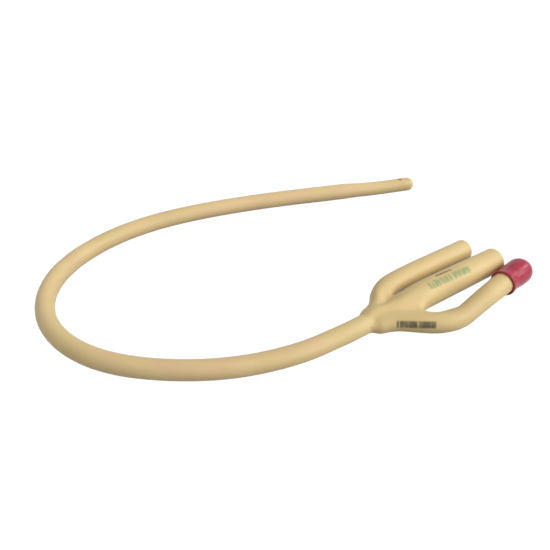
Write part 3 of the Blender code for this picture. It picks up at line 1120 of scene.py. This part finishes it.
@dataclass(frozen=True)
class BodyRing:
    """How the three limbs run together at one place, x in millimetres from the junction.

    Share is how far the outline has gone from the round neck to the limbs' own outlines. Left
    and right are the heights of the two valleys, as shares of the height beside them. Lean is
    how far the upper left valley is shifted to the right, in millimetres. Crest and crown are
    the heights of the left and the right limb's upper sides, as shares of their own.
    """

    x: float
    left: float
    right: float
    lean: float = 0.0
    crest: float = 1.0
    crown: float = 1.0
    share: float = 1.0


@dataclass
class MouldedHub:
    """The moulded body that runs from the neck to the fork and parts into three limbs.

    Its sizes are in millimetres. Each valley is a pair of corners of the body's rings, the upper
    and the lower one, at which the fork parts two limbs.
    """

    irrigation: Limb = field(default_factory=irrigation_limb)
    funnel: Limb = field(default_factory=drainage_funnel)
    inflation: Limb = field(default_factory=inflation_limb)
    neck_radius: float = 3.725
    socket_radius: float = 3.708
    socket_depth: float = 2.4
    neck_support: float = 0.3
    blind_floor: float = 3.5
    body: tuple[BodyRing, ...] = (
        BodyRing(-9.1, 1.2, 1.2, crown=0.7, share=0.22),
        BodyRing(-7.4, 1.45, 1.3, crest=1.2, crown=0.72, share=0.7),
        BodyRing(-5.5, 1.6, 1.25, lean=0.3, crest=1.35, crown=0.8),
        BodyRing(-2.8, 1.6, 1.15, lean=0.6, crest=1.3, crown=0.92),
        BodyRing(1.0, 0.75, 0.95, lean=1.2, crest=1.15),
        BodyRing(3.8, 0.1, 0.6, lean=0.9, crest=1.05),
    )
    fork: BodyRing = BodyRing(FUNNEL_FORK, 0.05, 0.3, lean=0.4)
    valleys: tuple[tuple[int, int], tuple[int, int]] = ((3, 13), (5, 11))
    levels: int = 3
    sharp_degrees: float = 60.0
    finish: Latex = Latex("hub_latex", peach=(0.75, 0.565, 0.265), gloss=0.25)
    marks: tuple[InkMark, ...] = (
        InkMark(place=(3.4, -12.6, 7.0), turn=(62.5, -3.2, -39.4), length=14.0 * MM,
                height=2.5 * MM, color=(0.055, 0.058, 0.045), strength=0.85, cover=0.17),
        InkMark(place=(30.7, -2.1, 10.3), turn=(28.0, 0.4, -1.4), length=21.9 * MM,
                height=2.9 * MM, color=(0.11, 0.32, 0.13), strength=0.6, slur=0.2,
                gaps=(1.4,), soft=0.6 * MM),
        InkMark(place=(30.2, 0.97, 10.87), turn=(-6.0, 0.0, -3.3), length=8.0 * MM,
                height=1.1 * MM, color=(0.12, 0.10, 0.05), strength=0.8, block=0.6 * MM,
                cover=0.2, soft=0.25 * MM),
    )

    def neck(self, x: float, radius: float) -> list[Vector]:
        """Cage points round the neck, in the order of the body's rings.

        Args:
            x: Place along x, in millimetres from the junction.
            radius: Radius in millimetres.

        Returns:
            The points, from the left side upward.
        """
        centre = Matrix.Translation(JUNCTION + Vector((x * MM, 0.0, hub_height(x))))
        left, up, ahead = Vector((0.0, 1.0, 0.0)), Vector((0.0, 0.0, 1.0)), Vector((1.0, 0.0, 0.0))
        axes = Matrix((left, up, ahead)).transposed().to_4x4()
        return ring(centre @ axes, radius * MM, radius * MM, NECK_SIDES)

    def body_ring(self, rings: Sequence[list[Vector]], shape: BodyRing) -> list[Vector]:
        """Sixteen cage points round three limbs that have run together side by side.

        Args:
            rings: Eight points round each limb, from the left limb to the right.
            shape: How the limbs run together there.

        Returns:
            The points, from the left side upward.
        """
        left, middle, right = rings
        level = middle[0].z
        shift = Vector((0.0, -shape.lean * MM, 0.0))

        def lifted(point: Vector, depth: float) -> Vector:
            """A point with its height over the mid-plane scaled."""
            return Vector((point.x, point.y, level + (point.z - level) * depth))

        def valley(a: Vector, b: Vector, depth: float) -> Vector:
            """Point of a valley between two limbs."""
            return lifted((a + b) / 2.0, depth)

        return [
            left[0], lifted(left[1], shape.crest), lifted(left[2], shape.crest),
            valley(left[3], middle[1], shape.left) + shift,
            middle[2], valley(middle[3], right[1], shape.right),
            lifted(right[2], shape.crown), lifted(right[3], shape.crown),
            right[4], right[5], right[6], valley(right[7], middle[5], min(1.0, shape.right)),
            middle[6], valley(middle[7], left[5], min(1.0, shape.left)), left[6], left[7],
        ]

    def part(self, front: Front) -> list[Front]:
        """Splits the face at the fork into the roots of the three limbs.

        Args:
            front: Face across the whole fork, with sixteen corners.

        Returns:
            The faces of the irrigation limb, the funnel and the inflation limb.
        """
        bm = front.bm
        bm.verts.index_update()
        marks = [vert.index for vert in front.corners]
        count = len(bm.verts)
        edges = []
        for upper, lower in self.valleys:
            ends = [front.corners[upper], front.corners[lower]]
            edges += bmesh.ops.connect_verts(bm, verts=ends)["edges"]
        bmesh.ops.bisect_edges(bm, edges=edges, cuts=1)
        bm.verts.ensure_lookup_table()
        fork = [bm.verts[mark] for mark in marks]
        right, left = sorted(bm.verts[count:], key=lambda vert: vert.co.y)
        roots = ([*fork[:4], left, *fork[13:]], [left, *fork[3:6], right, *fork[11:14]],
                 [right, *fork[5:12]])
        return [Front(bm, self.face_of(corners), corners) for corners in roots]

    def face_of(self, corners: list[bmesh.types.BMVert]) -> bmesh.types.BMFace:
        """The face that has just these corners."""
        return next(face for face in corners[0].link_faces if set(face.verts) == set(corners))

    def build(self) -> bpy.types.Object:
        """Grows the cage from the neck's socket to the three mouths and smooths it.

        Returns:
            The hub's object.
        """
        limbs = (self.irrigation, self.funnel, self.inflation)
        bm = bmesh.new()
        bm.edges.layers.float.new("crease_edge")
        bmesh.ops.create_circle(bm, cap_ends=True, segments=NECK_SIDES, radius=1.0)
        bm.faces.ensure_lookup_table()
        front = Front(bm, bm.faces[0], list(bm.faces[0].verts))
        floor = NECK_X + self.socket_depth
        front.put(self.neck(floor, self.socket_radius), crisp=True)
        front.grow(self.neck(NECK_X, self.socket_radius), crisp=True)
        front.grow(self.neck(NECK_X, self.neck_radius), crisp=True)
        front.grow(self.neck(NECK_X + self.neck_support, self.neck_radius))
        for shape in self.body:
            wide = self.body_ring([limb.outline(shape.x) for limb in limbs], shape)
            narrow = self.neck(shape.x, self.neck_radius)
            front.grow([a.lerp(b, shape.share) for a, b in zip(narrow, wide)])
        rings = [limb.outline(limb.fork, limb.slant) for limb in limbs]
        front.grow(self.body_ring(rings, self.fork))
        roots = self.part(front)
        for limb, root, end in zip(limbs, roots, (self.blind_floor, floor, self.blind_floor)):
            limb.extend(root, end)
        roots[1].open()
        bmesh.ops.bridge_loops(bm, edges=[edge for edge in bm.edges if edge.is_boundary])
        bmesh.ops.recalc_face_normals(bm, faces=bm.faces[:])
        hub = new_piece("moulded_hub", bm)
        smooth = hub.modifiers.new("smooth", "SUBSURF")
        smooth.levels = self.levels
        smooth.render_levels = self.levels
        settle(hub, self.sharp_degrees)
        return hub

    def dress(self, hub: bpy.types.Object) -> None:
        """Gives the hub its printed finish and puts it in place of its solid.

        Args:
            hub: The hub's object.
        """
        hub.data.materials.append(self.finish.material(self.marks))
        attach(hub, BODY)
        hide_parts("three_way_hub")


@dataclass
class FillingValve:
    """The soft valve: a skirt over the inflation limb, a stem in its bore and a domed head.

    Its sizes are in millimetres along and out from its axis. The port's edge is given from the
    dome's rim and the port's wall, and the skirt's edge from the skirt's end and inner wall.
    """

    limb: Limb
    length: float = 17.4
    limb_radius: float = 4.6
    clearance: float = 0.1
    end_gap: float = 0.3
    grip: float = 0.03
    skirt: float = 7.0
    skirt_edge: tuple[tuple[float, float], ...] = ((0.0, 0.1), (0.1, 0.0), (0.8, 0.0))
    pocket: float = 1.3
    outside: tuple[tuple[float, float], ...] = (
        (0.0, 5.0), (0.12, 5.17), (0.4, 5.28), (0.8, 5.3), (1.6, 5.16), (3.2, 4.98), (4.6, 4.98),
        (6.6, 5.15), (8.6, 5.32), (11.0, 5.36))
    dome_radius: float = 5.36
    dome_degrees: float = 86.0
    dome_stops: int = 16
    stem_radius: float = 1.6
    stem_length: float = 6.0
    stem_chamfer: float = 0.4
    port_rim: float = 3.0
    port_edge: tuple[tuple[float, float], ...] = ((-0.5, 0.0), (-0.12, 0.15), (0.0, 0.4))
    port_radius: float = 2.1
    port_floor: float = 1.8
    port_depth: float = 6.5
    sides: int = 64
    finish: MouldedRubber = MouldedRubber("valve_rubber")

    def profile(self) -> list[tuple[float, float]]:
        """Half of the valve's section, from the port's floor over the dome to the stem's end.

        Returns:
            Pairs of distance along the valve and out from its axis.
        """
        wall = self.limb_radius + self.clearance
        lip = self.limb_radius + self.grip
        dome = self.length - self.dome_radius
        rim_angle = math.asin(self.port_rim / self.dome_radius)
        rim = dome + self.dome_radius * math.cos(rim_angle)
        floor = self.length - self.port_depth
        stem_end = self.skirt - self.stem_length
        points = [(floor, 0.0), (floor, self.port_floor)]
        points += [(rim + along, self.port_radius + out) for along, out in self.port_edge]
        angles = np.linspace(rim_angle, math.radians(self.dome_degrees), self.dome_stops)
        points += [(dome + self.dome_radius * math.cos(angle), self.dome_radius * math.sin(angle))
                   for angle in angles]
        points += reversed(self.outside)
        points += [(along, lip + out) for along, out in self.skirt_edge]
        points += [(self.pocket, wall), (self.skirt, wall), (self.skirt, self.stem_radius),
                   (stem_end + self.stem_chamfer, self.stem_radius),
                   (stem_end, self.stem_radius - self.stem_chamfer), (stem_end, 0.0)]
        return points

    def build(self) -> bpy.types.Object:
        """Turns the section about the end of the inflation limb.

        Returns:
            The valve's object.
        """
        place = self.limb.route.frame_at(self.limb.route.length_at(self.limb.end * MM))
        place = place @ Matrix.Translation((0.0, 0.0, (self.end_gap - self.skirt) * MM))
        bm = bmesh.new()
        verts = [bm.verts.new((out * MM, 0.0, along * MM)) for along, out in self.profile()]
        edges = [bm.edges.new(pair) for pair in zip(verts, verts[1:])]
        bmesh.ops.spin(bm, geom=verts + edges, cent=(0, 0, 0), axis=(0, 0, 1), dvec=(0, 0, 0),
                       angle=2.0 * math.pi, steps=self.sides, use_merge=True)
        bmesh.ops.remove_doubles(bm, verts=bm.verts[:], dist=MERGE)
        bmesh.ops.recalc_face_normals(bm, faces=bm.faces[:])
        bmesh.ops.transform(bm, matrix=place, verts=bm.verts[:])
        return new_piece("filling_valve", bm)

    def dress(self, valve: bpy.types.Object) -> None:
        """Gives the valve its finish and puts it in place of its solid.

        Args:
            valve: The valve's object.
        """
        valve.data.materials.append(self.finish.material())
        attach(valve, BODY)
        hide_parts("inflation_valve")


def report(piece: bpy.types.Object) -> None:
    """Logs a finished piece with its count of faces."""
    LOG.info("%s: %d faces", piece.name, len(piece.data.polygons))


def main() -> None:
    """Builds the room and the catheter, the flexible shaft first."""
    logging.basicConfig(level=logging.INFO, format="%(name)s: %(message)s")
    Studio().build()
    shaft = FlexibleShaft()
    tube = shaft.build()
    sleeve = BalloonSleeve(shaft)
    balloon = sleeve.build()
    sleeve.dress(balloon)
    shaft.dress(tube, [balloon])
    hub = MouldedHub()
    body = hub.build()
    hub.dress(body)
    valve = FillingValve(hub.inflation)
    cap = valve.build()
    valve.dress(cap)
    for piece in (tube, balloon, body, cap):
        report(piece)


if __name__ == "__main__":
    main()
